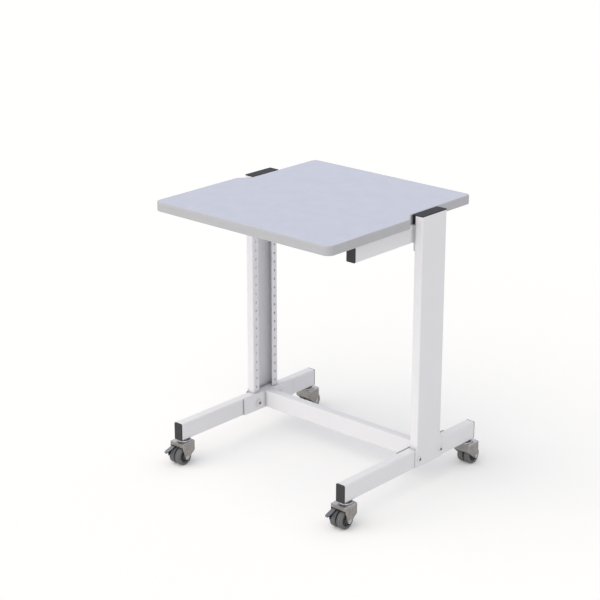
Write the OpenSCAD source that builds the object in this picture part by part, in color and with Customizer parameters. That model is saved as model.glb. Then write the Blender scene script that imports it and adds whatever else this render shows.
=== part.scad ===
// Mobile utility table on four twin-wheel casters.
// +X is the user's right, +Y is the back and +Z is up. The origin is on the floor,
// in the middle of the table's box, seen from above.

/* [Table] */
// Height of the table's surface above the floor
table_h = 760; // [630:1:920]
// Width of the top in front of the posts
top_w = 600; // [500:5:760]
// Depth of the top
top_d = 600; // [560:5:700]
// Thickness of the top
top_t = 25; // [20:0.5:34]
// Radius of the top's front corners
top_corner_r = 22; // [8:1:50]
// Radius of the top's rear corners
neck_corner_r = 15; // [6:1:40]
// How far the top's side steps in, to pass between the posts
step_in = 27; // [18:1:40]
// Depth of the slanted part of that step
step_run = 36; // [24:1:60]
// Rest of the slant's end in front of the posts
step_clear = 5; // [2:0.5:20]
// How far the top's front edge stands in front of the feet
top_overhang = 57.5; // [30:0.5:90]

/* [Edge band] */
// Thickness of the band round the top
band_t = 3; // [2:0.25:4]
// Rounding of the band's upper and lower edges
band_r = 2.5; // [1:0.25:2.5]

/* [Posts] */
// Width of a post, front to back
post_w = 100; // [80:1:130]
// Depth of a post's channel, from the web's outer face to the lips
post_depth = 25.5; // [22:0.5:40]
// How far the posts' outer faces stand out past the sides of the top
post_proud = 7; // [4:0.5:12]
// Sheet thickness of the posts
sheet = 2; // [1.5:0.25:3]
// Outer radius of the posts' bends
bend_r = 4; // [3:0.5:6]
// Width of the open slot between a post's two lips
slot_w = 55.6; // [40:0.2:60]
// Distance from the feet's front ends to the middle of the posts
post_from_front = 343; // [280:1:400]
// Diameter of the holes in the lips
hole_d = 7; // [5:0.25:8]
// Pitch of those holes along the post
hole_pitch = 25.4; // [20:0.2:28]
// Distance between the two columns of holes
hole_columns = 76.2; // [66:0.2:82]
// Height of the lowest hole above the foot
hole_start = 18; // [14:0.5:40]
// Distance from the last hole to the post's upper end, at least
hole_end = 7; // [6:0.5:20]
// How far the tongue that reaches down over the foot stands out past each side of the post
tongue_ear = 7; // [5:0.5:12]
// Radius of the shoulder between post and tongue
shoulder_r = 9; // [5:0.5:15]

/* [Post caps] */
// Thickness of a cap's lid
cap_t = 2.5; // [2:0.25:4]
// Gap between the cap's skirt and the arm below it
skirt_clear = 0.5; // [0.3:0.1:3]
// Gap between that skirt and the top's side
skirt_gap = 1.5; // [0.5:0.25:3]
// Wall of the cap's skirt and plug
cap_wall = 2; // [1.5:0.25:2.5]
// Depth of the plug inside the post
plug_h = 18; // [10:1:20]
// Play between a plug and the tube or channel that it closes
plug_play = 0.2; // [0.1:0.05:0.4]

/* [Feet, crossbar and arms] */
// Length of a foot with its end caps
foot_l = 550; // [480:5:640]
// Width of the feet's tube
foot_w = 28; // [24:0.5:34]
// Height of the feet's tube
foot_h = 50; // [44:1:60]
// Wall of all the rectangular tubes
tube_t = 2; // [1.5:0.25:3]
// Outer corner radius of all the rectangular tubes
tube_r = 4; // [3:0.5:6]
// Thickness of the head of an end cap
end_cap_t = 3; // [2:0.25:5]
// Rounding of that head's edge
end_cap_r = 1.25; // [0.5:0.25:1.5]
// Length of an end cap's plug
end_plug_l = 14; // [8:1:20]
// Thickness of the crossbar
bar_w = 28; // [20:1:32]
// How far the crossbar's middle is behind the posts' middle
bar_offset = 3.5; // [0:0.5:6]
// Length of the plate at each end of the crossbar
bar_plate_l = 204; // [140:1:240]
// Thickness of that plate
bar_plate_t = 2; // [1.5:0.5:4]
// Thickness of the washers that keep that plate off the foot
washer_t = 1.2; // [0.8:0.1:2]
// Thickness of an arm's tube
arm_w = 28; // [24:0.5:34]
// Height of an arm's tube
arm_h = 50; // [44:1:60]
// Distance from the top's front edge to the arms' front ends
arm_inset = 122; // [60:1:200]
// Thickness of the plate between an arm and its post
arm_plate_t = 4; // [3:0.5:6]
// Distance from that plate's sides to the post's
arm_plate_inset = 1; // [0.5:0.5:3]
// Distance from the lower bolts to that plate's lower edge
arm_plate_edge = 10; // [8:0.5:16]

/* [Bolts and screws] */
// Diameter of the bolts through the lips
arm_bolt_d = 6; // [4:0.5:6.5]
// Diameter of the bolts through the feet
frame_bolt_d = 8; // [6:0.5:10]
// Distance between the two bolts through a foot
frame_bolt_gap = 90; // [60:1:92]
// Height of those bolts above the foot's lower face
frame_bolt_h = 23; // [16:0.5:30]
// Radial play of the bolts in their holes
bolt_play = 0.25; // [0.1:0.05:0.5]
// Diameter of the screws that hold the top
top_screw_d = 5; // [4:0.25:6]
// How deep those screws go into the top
top_screw_bite = 17; // [10:0.5:18]

/* [Casters] */
// Radius of the wheels
wheel_r = 25; // [20.5:0.1:30]
// Height from the top of the wheels to the feet
caster_rise = 20.5; // [20:0.5:28]
// Width of one wheel
wheel_w = 17; // [13:0.5:19]
// Gap between a caster's two wheels
wheel_gap = 5; // [3:0.5:8]
// Thickness of the tyres
tyre_t = 6.5; // [4:0.5:8]
// Rounding of the tyres' shoulders
tyre_round = 3; // [1:0.5:3]
// Diameter of the axles
axle_d = 8; // [6:0.5:10]
// Radial running play of wheels and swivel
run_play = 0.08; // [0.03:0.01:0.1]
// Distance from the swivel's axis to the axle
trail = 16; // [12:0.5:18]
// Distance from a foot's end to the swivel's axis
stem_inset = 23; // [22:0.5:40]
// Play between a wheel's hub and the fork's leg
side_play = 0.3; // [0.2:0.05:0.6]
// Distance from a wheel's side to the fork's leg
leg_gap = 5; // [2:0.25:6]
// Sheet thickness of the fork
fork_t = 3; // [2.5:0.25:3.5]
// Corner radius of the fork, seen from above
fork_r = 7; // [5:0.5:9]
// Distance from the foot to the top of the fork's crown
crown_gap = 5.5; // [4:0.25:8]
// Reach of the fork's crown behind the swivel's axis
crown_back = 17; // [14:0.5:20]
// Reach of the fork's crown on the side of the wheels
crown_front = 30; // [27:0.5:34]
// Radius of the fork's round ends at the axle
leg_end_r = 7; // [6:0.5:10]
// Rounding of the fork's back, seen from the side
fork_back_r = 16; // [6:1:20]
// Diameter of the pin that the fork swivels on
king_d = 10; // [8:0.5:12]
// Diameter of the upper race
race_d = 38; // [30:1:42]
// Diameter of the neck between race and foot
neck_d = 18; // [14:1:22]

/* [Brakes of the front casters] */
// Diameter of the lever's pin
brake_pin_d = 4; // [3:0.5:5]
// Distance of that pin from the swivel's axis
brake_pin_y = 12; // [10:0.5:14]
// Gap between the brake's shoe and the tyre, when released
brake_gap = 3; // [2.5:0.1:3.2]
// Sheet thickness of the lever
lever_t = 2; // [1.5:0.25:2.5]
// Distance from the lever's ear to the fork's leg
ear_gap = 2; // [1.5:0.25:3]
// Width of the pedal
pedal_w = 13; // [10:1:17]
// Length of the pedal's straight part
pedal_l = 36; // [24:1:40]
// Slope of the pedal
pedal_slope = 19; // [12:1:24]
// Depth of the pedal's side flange
flange_h = 9; // [3:0.5:10]

/* [Hidden] */
$fn = 48;

POWDER_WHITE = [0.87, 0.87, 0.88];
LAMINATE = [0.78, 0.79, 0.84];
BAND_GREY = [0.76, 0.76, 0.76];
BLACK_PLASTIC = [0.16, 0.16, 0.17];
ZINC = [0.62, 0.61, 0.59];
TYRE_GREY = [0.33, 0.34, 0.35];
HUB_GREY = [0.22, 0.23, 0.24];

// Small amount by which a cut reaches past what it cuts
cut = 1;

// Heights
caster_h = 2 * wheel_r + caster_rise;
foot_z0 = caster_h;
foot_z1 = foot_z0 + foot_h;
top_z0 = table_h - top_t;
post_z1 = table_h - cap_t;
arm_z0 = top_z0 - arm_h;
skirt_z0 = top_z0 + skirt_clear;

// Across the table, on its right side
post_out = top_w / 2 + post_proud;
post_in = post_out - post_depth;
neck_x = top_w / 2 - step_in;
foot_x1 = post_out - sheet;
foot_x0 = foot_x1 - foot_w;
foot_mid_x = (foot_x0 + foot_x1) / 2;
bar_plate_x1 = foot_x0 - washer_t;
bar_x1 = bar_plate_x1 - bar_plate_t;
arm_x1 = post_in - arm_plate_t;
arm_x0 = arm_x1 - arm_w;

// Widths that follow the post's
tongue_w = post_w + 2 * tongue_ear;
arm_plate_w = post_w - 2 * arm_plate_inset;

// From front to back. The table's box runs from the top's front edge to whatever
// reaches furthest back: the rear wheels or the top
rear_reach = max(foot_l - stem_inset + trail + wheel_r, top_d - top_overhang);
foot_y0 = (top_overhang - rear_reach) / 2;
foot_y1 = foot_y0 + foot_l;
top_y0 = foot_y0 - top_overhang;
top_y1 = top_y0 + top_d;
post_y = foot_y0 + post_from_front;
bar_y = post_y + bar_offset;
arm_y0 = top_y0 + arm_inset;
arm_y1 = post_y + post_w / 2;

// The column of holes in a post's lip, and the holes that an arm is bolted to
hole_z0 = foot_z1 + hole_start;
hole_count = floor((post_z1 - hole_end - hole_z0) / hole_pitch) + 1;
hole_ys = [post_y - hole_columns / 2, post_y + hole_columns / 2];
arm_low_row = floor((arm_z0 - hole_d - hole_z0) / hole_pitch);
arm_row_low_z = hole_z0 + arm_low_row * hole_pitch;
arm_row_high_z = hole_z0 + floor((top_z0 - hole_d - hole_z0) / hole_pitch) * hole_pitch;
arm_plate_z0 = arm_row_low_z - arm_plate_edge;
arm_plate_z1 = top_z0;

// Bolts through the feet
frame_bolt_z = foot_z0 + frame_bolt_h;
frame_bolt_ys = [bar_y - frame_bolt_gap / 2, bar_y + frame_bolt_gap / 2];

// Screws into the top, clear of the bolts that cross the arms
screw_x = (arm_x0 + arm_x1) / 2;
screw_ys = [arm_y0 + 30, (arm_y0 + hole_ys[0]) / 2, post_y];
screw_head_h = 3;
screw_head_d = 10;

// Fasteners' heads and nuts, for a bolt of diameter d
function nut_af(d) = 1.65 * d;
function nut_h(d) = 0.8 * d;

// Casters: where each stands, and which way its wheels trail
caster_ys = [foot_y0 + stem_inset, foot_y1 - stem_inset];
leg_in = wheel_gap / 2 + wheel_w + leg_gap;
leg_out = leg_in + fork_t;
rim_r = wheel_r - tyre_t;
crown_z1 = caster_h - crown_gap;
crown_z0 = crown_z1 - fork_t;
crown_play = 0.3;
race_z0 = crown_z1 + crown_play;
race_h = 2.4;
king_head_d = 14;
caster_nut_af = 17;
king_head_h = 3.2;
axle_z = wheel_r;
skirt_front_z = 2 * wheel_r + 5;
skirt_back_z = 2 * wheel_r - 5;
axle_head_h = 2.5;
axle_head_d = 13;
tube_hole_play = 0.1;

// Brake lever, in the caster's own frame: x across, y towards the wheels' trail
plate_z = 2 * wheel_r + 2;
brake_pin_z = plate_z + 4.5;
ear_r = 4.5;
ear_x1 = leg_in - ear_gap;
ear_x0 = ear_x1 - lever_t;
lever_y0 = 7;
pedal_y0 = trail + 6;
pedal_bend_r = 12;
pedal_bend_steps = 4;
pedal_x1 = ear_x0 - 1;
pedal_x0 = pedal_x1 - pedal_w;
pedal_tip_r = 6;
flange_y0 = trail + wheel_r + 2;
shoe_y0 = trail + 9;
shoe_y1 = trail + 17;
shoe_x0 = wheel_gap / 2 + 2;
shoe_x1 = wheel_gap / 2 + wheel_w - 2;

// Flat shapes

// Rectangle with round corners, centred
module round_rect(w, h, r) {
    square([w - 2 * r, h], center = true);
    square([w, h - 2 * r], center = true);
    for (x = [-1, 1], y = [-1, 1])
        translate([x * (w / 2 - r), y * (h / 2 - r)])
            circle(r = r);
}

// Section of a rectangular tube, centred
module tube_section(w, h) {
    difference() {
        round_rect(w, h, tube_r);
        round_rect(w - 2 * tube_t, h - 2 * tube_t, tube_r - tube_t);
    }
}

// Directions of extrusion

// Extrudes a shape drawn in X and Z along +Y, from y0 to y1
module along_y(y0, y1) {
    translate([0, y1, 0])
        rotate([90, 0, 0])
            linear_extrude(y1 - y0)
                children();
}

// Extrudes a shape drawn in Y and Z along +X, from x0 to x1
module along_x(x0, x1) {
    translate([x0, 0, 0])
        rotate([90, 0, 90])
            linear_extrude(x1 - x0)
                children();
}

// A round bar or hole along X, at y and z
module x_rod(d, x0, x1, y, z) {
    translate([x0, y, z])
        rotate([0, 90, 0])
            cylinder(d = d, h = x1 - x0);
}

// Puts a piece that is drawn for the right side on the left side
module left_side() {
    mirror([1, 0, 0])
        children();
}

module both_sides() {
    children();
    left_side()
        children();
}

// Top

function unit(v) = v / norm(v);

// The round corner b between a and c, on an outline that runs anticlockwise:
// whether it turns outwards, its arc's centre and radius, and the arc's two ends
function round_corner(a, b, c, r) =
    let (
        u = unit(a - b),
        w = unit(c - b),
        half = acos(u * w) / 2,
        outward = w[0] * u[1] - w[1] * u[0] > 0,
        centre = b + unit(u + w) * r / sin(half)
    )
    [outward, centre, r, b + u * r / tan(half), b + w * r / tan(half)];

// The top's right side, from the front corner to the rear corner, as corner and radius
step_y1 = post_y - post_w / 2 - step_clear;
step_y0 = step_y1 - step_run;
step_convex_r = 14;
step_hollow_r = 8;
right_corners = [
    [top_w / 2, top_y0, top_corner_r],
    [top_w / 2, step_y0, step_convex_r],
    [neck_x, step_y1, step_hollow_r],
    [neck_x, top_y1, neck_corner_r]
];
corner_count = 2 * len(right_corners);
corners = [for (i = [0:corner_count - 1])
    i < len(right_corners)
        ? right_corners[i]
        : let (c = right_corners[corner_count - 1 - i]) [-c[0], c[1], c[2]]];

function corner_xy(i) =
    let (c = corners[(i + corner_count) % corner_count])
    [c[0], c[1]];

outline_arcs = [for (i = [0:corner_count - 1])
    round_corner(corner_xy(i - 1), corner_xy(i), corner_xy(i + 1), corners[i][2])];

// Points and outward directions along one of the outline's arcs
arc_step = 6;

function arc_points(arc) =
    let (
        start = arc[3] - arc[1],
        first = atan2(start[1], start[0]),
        end = arc[4] - arc[1],
        turn = (atan2(end[1], end[0]) - first + 540) % 360 - 180,
        steps = ceil(abs(turn) / arc_step)
    )
    [for (i = [0:steps])
        let (
            angle = first + turn * i / steps,
            out = [cos(angle), sin(angle)]
        )
        [arc[1] + out * arc[2], arc[0] ? out : -out]];

outline_points = [for (arc = outline_arcs) each arc_points(arc)];

// The top's core, inside the edge band
module tabletop() {
    color(LAMINATE)
    difference() {
        translate([0, 0, top_z0])
            linear_extrude(top_t)
                polygon([for (p = outline_points) p[0] - p[1] * band_t]);
        both_sides()
            for (y = screw_ys)
                translate([screw_x, y, top_z0 - cut])
                    cylinder(d = top_screw_d, h = top_screw_bite + cut);
    }
}

// Section of the edge band: distance inwards from the outline, and height. Its inner
// face stands off the top's core by a hair
band_fit = 0.04;
band_steps = 4;
band_section = concat(
    [[band_t - band_fit, 0]],
    [for (i = [0:band_steps])
        let (a = 90 * i / band_steps) [band_r - band_r * sin(a), band_r - band_r * cos(a)]],
    [for (i = [0:band_steps])
        let (a = 90 * i / band_steps) [band_r - band_r * cos(a), top_t - band_r + band_r * sin(a)]],
    [[band_t - band_fit, top_t]]
);

module edge_band() {
    rings = len(outline_points);
    sides = len(band_section);
    points = [for (p = outline_points, s = band_section)
        let (xy = p[0] - p[1] * s[0]) [xy[0], xy[1], top_z0 + s[1]]];
    faces = [for (i = [0:rings - 1], j = [0:sides - 1])
        let (
            a = i * sides,
            b = ((i + 1) % rings) * sides,
            k = (j + 1) % sides
        )
        [a + j, a + k, b + k, b + j]];
    color(BAND_GREY)
    polyhedron(points, faces);
}

// Posts

// Section of a post, on the right side
module post_section() {
    translate([(post_in + post_out) / 2, post_y])
    difference() {
        round_rect(post_depth, post_w, bend_r);
        round_rect(post_depth - 2 * sheet, post_w - 2 * sheet, bend_r - sheet);
        translate([-post_depth / 2, 0])
            square([2 * sheet + cut, slot_w], center = true);
    }
}

// Outline of the tongue, in Y and Z, with the shoulders that lead into the web
module tongue_outline() {
    tongue_corner_r = 3;
    translate([post_y, 0]) {
        translate([0, foot_z0 + foot_h / 2])
            round_rect(tongue_w, foot_h, tongue_corner_r);
        translate([-tongue_w / 2, foot_z1 - 2 * tongue_corner_r])
            square([tongue_w, 2 * tongue_corner_r]);
        for (side = [-1, 1])
            intersection() {
                translate([-tongue_w / 2, foot_z1])
                    square([tongue_w, shoulder_r]);
                difference() {
                    translate([side > 0 ? 0 : -post_w / 2 - shoulder_r, foot_z1])
                        square([post_w / 2 + shoulder_r, shoulder_r]);
                    translate([side * (post_w / 2 + shoulder_r), foot_z1 + shoulder_r])
                        circle(r = shoulder_r);
                }
            }
    }
}

module lip_holes() {
    for (y = hole_ys, i = [0:hole_count - 1])
        x_rod(hole_d, post_in - cut, post_in + sheet + cut, y, hole_z0 + i * hole_pitch);
}

module post() {
    difference() {
        union() {
            translate([0, 0, foot_z1])
                linear_extrude(post_z1 - foot_z1)
                    post_section();
            along_x(post_out - sheet, post_out)
                tongue_outline();
        }
        lip_holes();
        for (y = frame_bolt_ys)
            x_rod(frame_bolt_d + 2 * bolt_play, post_out - sheet - cut, post_out + cut, y, frame_bolt_z);
    }
}

module post_left() {
    color(POWDER_WHITE)
    left_side()
        post();
}

module post_right() {
    color(POWDER_WHITE)
    post();
}

// Post cap: a lid, a plug inside the channel and a skirt between the lips and the top
module post_cap() {
    skirt_x0 = neck_x + skirt_gap;
    skirt_x1 = post_in - plug_play;
    lid_r = 2;
    plug_x = (post_in + post_out) / 2;
    plug_depth = post_depth - 2 * sheet - 2 * plug_play;
    plug_w = post_w - 2 * sheet - 2 * plug_play;
    plug_r = bend_r - sheet;
    // Lid
    translate([(skirt_x0 + post_out) / 2, post_y, post_z1])
        linear_extrude(cap_t)
            round_rect(post_out - skirt_x0, post_w, lid_r);
    // Plug, open below
    translate([plug_x, post_y, post_z1 - plug_h])
        linear_extrude(plug_h)
            difference() {
                round_rect(plug_depth, plug_w, plug_r);
                round_rect(plug_depth - 2 * cap_wall, plug_w - 2 * cap_wall, plug_r / 2);
            }
    // Skirt, a hollow box that is open below, with ribs
    translate([0, post_y, skirt_z0])
    difference() {
        translate([skirt_x0, -post_w / 2, 0])
            cube([skirt_x1 - skirt_x0, post_w, post_z1 - skirt_z0]);
        pocket_count = 3;
        pocket_l = (post_w - cap_wall) / pocket_count - cap_wall;
        for (i = [0:pocket_count - 1])
            translate([skirt_x0 + cap_wall, -post_w / 2 + cap_wall + i * (pocket_l + cap_wall), -cut])
                cube([skirt_x1 - skirt_x0 - 2 * cap_wall, pocket_l, post_z1 - skirt_z0 - cap_wall + cut]);
    }
}

module post_cap_left() {
    color(BLACK_PLASTIC)
    left_side()
        post_cap();
}

module post_cap_right() {
    color(BLACK_PLASTIC)
    post_cap();
}

// End caps of the rectangular tubes, drawn with the head's outer face at y = 0 and
// the plug towards +Y, centred on the tube. The plug ends before what is at a distance
// of room from the tube's end
module end_cap(w, h, room) {
    plug_end = min(end_cap_t + end_plug_l, room - 1);
    intersection() {
        along_y(0, end_cap_t)
            round_rect(w, h, tube_r);
        along_x(-w, w)
            translate([end_cap_t, 0])
                round_rect(2 * end_cap_t, h, end_cap_r);
        translate([0, 0, -h])
            linear_extrude(2 * h)
                translate([0, end_cap_t])
                    round_rect(w, 2 * end_cap_t, end_cap_r);
    }
    plug_w = w - 2 * tube_t - 2 * plug_play;
    plug_h = h - 2 * tube_t - 2 * plug_play;
    plug_r = tube_r - tube_t;
    along_y(end_cap_t, plug_end)
        difference() {
            round_rect(plug_w, plug_h, plug_r);
            round_rect(plug_w - 2 * cap_wall, plug_h - 2 * cap_wall, plug_r / 2);
        }
}

// Arms under the top

module arm() {
    translate([0, 0, arm_z0 + arm_h / 2])
    difference() {
        along_y(arm_y0 + end_cap_t, arm_y1 - end_cap_t)
            translate([screw_x, 0])
                tube_section(arm_w, arm_h);
        for (y = hole_ys)
            x_rod(
                arm_bolt_d + 2 * bolt_play,
                arm_x0 - cut,
                arm_x1 + cut,
                y,
                arm_row_high_z - arm_z0 - arm_h / 2
            );
        for (y = screw_ys)
            translate([screw_x, y, -arm_h / 2 - cut])
                cylinder(d = top_screw_d + 2 * bolt_play, h = arm_h + 2 * cut);
    }
}

module arm_left() {
    color(POWDER_WHITE)
    left_side()
        arm();
}

module arm_right() {
    color(POWDER_WHITE)
    arm();
}

module arm_cap_front() {
    translate([screw_x, arm_y0, arm_z0 + arm_h / 2])
        end_cap(arm_w, arm_h, screw_ys[0] - arm_y0 - top_screw_d);
}

module arm_cap_rear() {
    translate([screw_x, arm_y1, arm_z0 + arm_h / 2])
        rotate([0, 0, 180])
            end_cap(arm_w, arm_h, arm_y1 - hole_ys[1] - arm_bolt_d / 2);
}

module arm_cap_front_left() {
    color(BLACK_PLASTIC)
    left_side()
        arm_cap_front();
}

module arm_cap_front_right() {
    color(BLACK_PLASTIC)
    arm_cap_front();
}

module arm_cap_rear_left() {
    color(BLACK_PLASTIC)
    left_side()
        arm_cap_rear();
}

module arm_cap_rear_right() {
    color(BLACK_PLASTIC)
    arm_cap_rear();
}

// Plate that ties an arm to the lips of its post
module arm_plate() {
    plate_corner_r = 6;
    plate_h = arm_plate_z1 - arm_plate_z0;
    difference() {
        along_x(arm_x1, post_in)
            translate([post_y, arm_plate_z0 + plate_h / 2])
                round_rect(arm_plate_w, plate_h, plate_corner_r);
        for (y = hole_ys, z = [arm_row_low_z, arm_row_high_z])
            x_rod(arm_bolt_d + 2 * bolt_play, arm_x1 - cut, post_in + cut, y, z);
    }
}

module arm_plate_left() {
    color(POWDER_WHITE)
    left_side()
        arm_plate();
}

module arm_plate_right() {
    color(POWDER_WHITE)
    arm_plate();
}

// Fasteners

// Bolt along +X with a round button head at x0, ending at x1
module button_bolt(d, x0, x1, y, z) {
    head_d = 1.75 * d;
    head_h = 0.55 * d;
    socket = 0.55 * d;
    difference() {
        union() {
            x_rod(d, x0, x1, y, z);
            translate([x0, y, z])
                rotate([0, -90, 0]) {
                    cylinder(d = head_d, h = head_h / 3);
                    translate([0, 0, head_h / 3])
                        cylinder(d1 = head_d, d2 = 0.6 * head_d, h = head_h * 2 / 3);
                }
        }
        translate([x0 - head_h - cut, y, z])
            rotate([0, 90, 0])
                cylinder(d = socket, h = head_h * 0.7 + cut, $fn = 6);
    }
}

// Hex nut round a bolt along X, from x0
module hex_nut(d, x0, y, z) {
    translate([x0, y, z])
        rotate([0, 90, 0])
            difference() {
                cylinder(d = nut_af(d) / cos(30), h = nut_h(d), $fn = 6);
                translate([0, 0, -cut])
                    cylinder(d = d, h = nut_h(d) + 2 * cut);
            }
}

arm_bolt_end = post_in + sheet + nut_h(arm_bolt_d) + 2;

module arm_long_bolts() {
    color(ZINC)
    both_sides()
        for (y = hole_ys)
            button_bolt(arm_bolt_d, arm_x0, arm_bolt_end, y, arm_row_high_z);
}

module arm_short_bolts() {
    color(ZINC)
    both_sides()
        for (y = hole_ys)
            button_bolt(arm_bolt_d, arm_x1, arm_bolt_end, y, arm_row_low_z);
}

module arm_nuts() {
    color(ZINC)
    both_sides()
        for (y = hole_ys, z = [arm_row_low_z, arm_row_high_z])
            hex_nut(arm_bolt_d, post_in + sheet, y, z);
}

module top_screws() {
    point_h = 4;
    color(ZINC)
    both_sides()
        for (y = screw_ys)
            translate([screw_x, y, arm_z0]) {
                translate([0, 0, -screw_head_h])
                    difference() {
                        cylinder(d = screw_head_d, h = screw_head_h);
                        translate([0, 0, -cut])
                            cylinder(d = screw_head_d * 0.4, h = screw_head_h * 0.6 + cut, $fn = 6);
                    }
                cylinder(d = top_screw_d, h = arm_h + top_screw_bite - point_h);
                translate([0, 0, arm_h + top_screw_bite - point_h])
                    cylinder(d1 = top_screw_d, d2 = 1, h = point_h - 0.5);
            }
}

// Feet and crossbar

module foot() {
    translate([foot_mid_x, 0, foot_z0 + foot_h / 2])
    difference() {
        along_y(foot_y0 + end_cap_t, foot_y1 - end_cap_t)
            tube_section(foot_w, foot_h);
        for (y = frame_bolt_ys)
            x_rod(
                frame_bolt_d + 2 * bolt_play,
                -foot_w / 2 - cut,
                foot_w / 2 + cut,
                y,
                frame_bolt_h - foot_h / 2
            );
        for (y = caster_ys)
            translate([0, y, -foot_h / 2 - cut])
                cylinder(d = king_d + 2 * tube_hole_play, h = tube_t + 2 * cut);
    }
}

module foot_left() {
    color(POWDER_WHITE)
    left_side()
        foot();
}

module foot_right() {
    color(POWDER_WHITE)
    foot();
}

module foot_cap_front() {
    translate([foot_mid_x, foot_y0, foot_z0 + foot_h / 2])
        end_cap(foot_w, foot_h, stem_inset - caster_nut_af / 2 / cos(30));
}

module foot_cap_rear() {
    translate([foot_mid_x, foot_y1, foot_z0 + foot_h / 2])
        rotate([0, 0, 180])
            end_cap(foot_w, foot_h, stem_inset - caster_nut_af / 2 / cos(30));
}

module foot_cap_front_left() {
    color(BLACK_PLASTIC)
    left_side()
        foot_cap_front();
}

module foot_cap_front_right() {
    color(BLACK_PLASTIC)
    foot_cap_front();
}

module foot_cap_rear_left() {
    color(BLACK_PLASTIC)
    left_side()
        foot_cap_rear();
}

module foot_cap_rear_right() {
    color(BLACK_PLASTIC)
    foot_cap_rear();
}

module crossbar() {
    color(POWDER_WHITE)
    along_x(-bar_x1, bar_x1)
        translate([bar_y, foot_z0 + foot_h / 2])
            tube_section(bar_w, foot_h);
}

// Plate welded to the crossbar's end, on the inner side of a foot
module crossbar_plate() {
    plate_corner_r = 2;
    difference() {
        along_x(bar_x1, bar_plate_x1)
            translate([bar_y, foot_z0 + foot_h / 2])
                round_rect(bar_plate_l, foot_h, plate_corner_r);
        for (y = frame_bolt_ys)
            x_rod(frame_bolt_d + 2 * bolt_play, bar_x1 - cut, bar_plate_x1 + cut, y, frame_bolt_z);
    }
}

module crossbar_plate_left() {
    color(POWDER_WHITE)
    left_side()
        crossbar_plate();
}

module crossbar_plate_right() {
    color(POWDER_WHITE)
    crossbar_plate();
}

// Bolts run from the post's tongue through foot and plate
module frame_bolts() {
    bolt_end = bar_x1 - nut_h(frame_bolt_d) - 2;
    color(ZINC)
    both_sides()
        for (y = frame_bolt_ys)
            mirror([1, 0, 0])
                button_bolt(frame_bolt_d, -post_out, -bolt_end, y, frame_bolt_z);
}

module frame_washers() {
    washer_d = 2 * frame_bolt_d;
    color(ZINC)
    both_sides()
        for (y = frame_bolt_ys)
            difference() {
                x_rod(washer_d, bar_plate_x1, foot_x0, y, frame_bolt_z);
                x_rod(frame_bolt_d + 2 * bolt_play, bar_plate_x1 - cut, foot_x0 + cut, y, frame_bolt_z);
            }
}

module frame_nuts() {
    color(ZINC)
    both_sides()
        for (y = frame_bolt_ys)
            hex_nut(frame_bolt_d, bar_x1 - nut_h(frame_bolt_d), y, frame_bolt_z);
}

// Casters. Each piece is drawn round the swivel's axis, with the wheels trailing
// towards +Y, and then put under a foot's end, turned so that they trail outwards

module caster_place(side, row) {
    translate([side * foot_mid_x, caster_ys[row], 0])
        rotate([0, 0, row == 0 ? 180 : 0])
            children();
}

module every_caster() {
    for (side = [-1, 1], row = [0, 1])
        caster_place(side, row)
            children();
}

// Stem: riveted head below the crown, upper race and threaded end in the foot
module caster_stems() {
    king_head_z = crown_z0 - crown_play - king_head_h;
    stem_above = 22;
    color(ZINC)
    every_caster() {
        translate([0, 0, king_head_z])
            cylinder(d = king_head_d, h = king_head_h);
        translate([0, 0, king_head_z])
            cylinder(d = king_d, h = foot_z0 + stem_above - king_head_z);
        translate([0, 0, race_z0])
            cylinder(d1 = race_d, d2 = race_d - 3, h = race_h);
        translate([0, 0, race_z0 + race_h])
            cylinder(d = neck_d, h = foot_z0 - race_z0 - race_h);
    }
}

module caster_nuts() {
    nut_height = 8;
    color(ZINC)
    every_caster()
        translate([0, 0, foot_z0 + tube_t])
            rotate([0, 0, 30])
            difference() {
                cylinder(d = caster_nut_af / cos(30), h = nut_height, $fn = 6);
                translate([0, 0, -cut])
                    cylinder(d = king_d, h = nut_height + 2 * cut);
            }
}

// Point where a line from p touches the circle of radius r round c, on the side that
// hand names
function tangent_point(p, c, r, hand) =
    let (
        d = norm(p - c),
        base = atan2(p[1] - c[1], p[0] - c[0]),
        angle = base + hand * acos(r / d)
    )
    c + r * [cos(angle), sin(angle)];

// Side view of a fork, in Y and Z: legs that taper to a round end at the axle. It runs
// past the crown's top, front and back, where the fork's block ends it
module fork_side() {
    c = [trail, axle_z];
    back = [-crown_back - fork_t, skirt_back_z];
    front = [crown_front, skirt_front_z];
    leg_back = tangent_point(back, c, leg_end_r, 1);
    bend = round_corner([back[0], crown_z1], back, leg_back, fork_back_r);
    above = crown_z1 + fork_back_r;
    polygon([
        [back[0], above],
        bend[3],
        bend[4],
        leg_back,
        c,
        tangent_point(front, c, leg_end_r, -1),
        front,
        front + [cut, 0],
        [crown_front + cut, above]
    ]);
    translate(bend[1])
        circle(r = fork_back_r);
    translate(c)
        circle(r = leg_end_r);
}

// Rounded block of the fork's plan and front view, grown or shrunk by its sheet
module fork_block(shrink) {
    w = 2 * (leg_out - shrink);
    l = crown_front + crown_back - 2 * shrink;
    z1 = crown_z1 - shrink;
    top_round = fork_r - 1 - shrink / 2;
    intersection() {
        translate([0, (crown_front - crown_back) / 2, -cut])
            linear_extrude(z1 + cut)
                round_rect(w, l, fork_r - shrink);
        along_y(-crown_back, crown_front)
            translate([0, z1 / 2 - cut])
                round_rect(w, z1 + 2 * cut, top_round);
    }
}

module fork(with_brake) {
    difference() {
        intersection() {
            fork_block(0);
            along_x(-leg_out, leg_out)
                fork_side();
        }
        fork_block(fork_t);
        translate([-leg_in, trail, 0])
            cube([2 * leg_in, crown_front, skirt_front_z]);
        x_rod(axle_d, -leg_out - cut, leg_out + cut, trail, axle_z);
        translate([0, 0, crown_z0 - cut])
            cylinder(d = king_d + 2 * run_play, h = fork_t + 2 * cut);
        if (with_brake)
            x_rod(brake_pin_d, leg_in - cut, leg_out + cut, brake_pin_y, brake_pin_z);
    }
}

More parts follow.
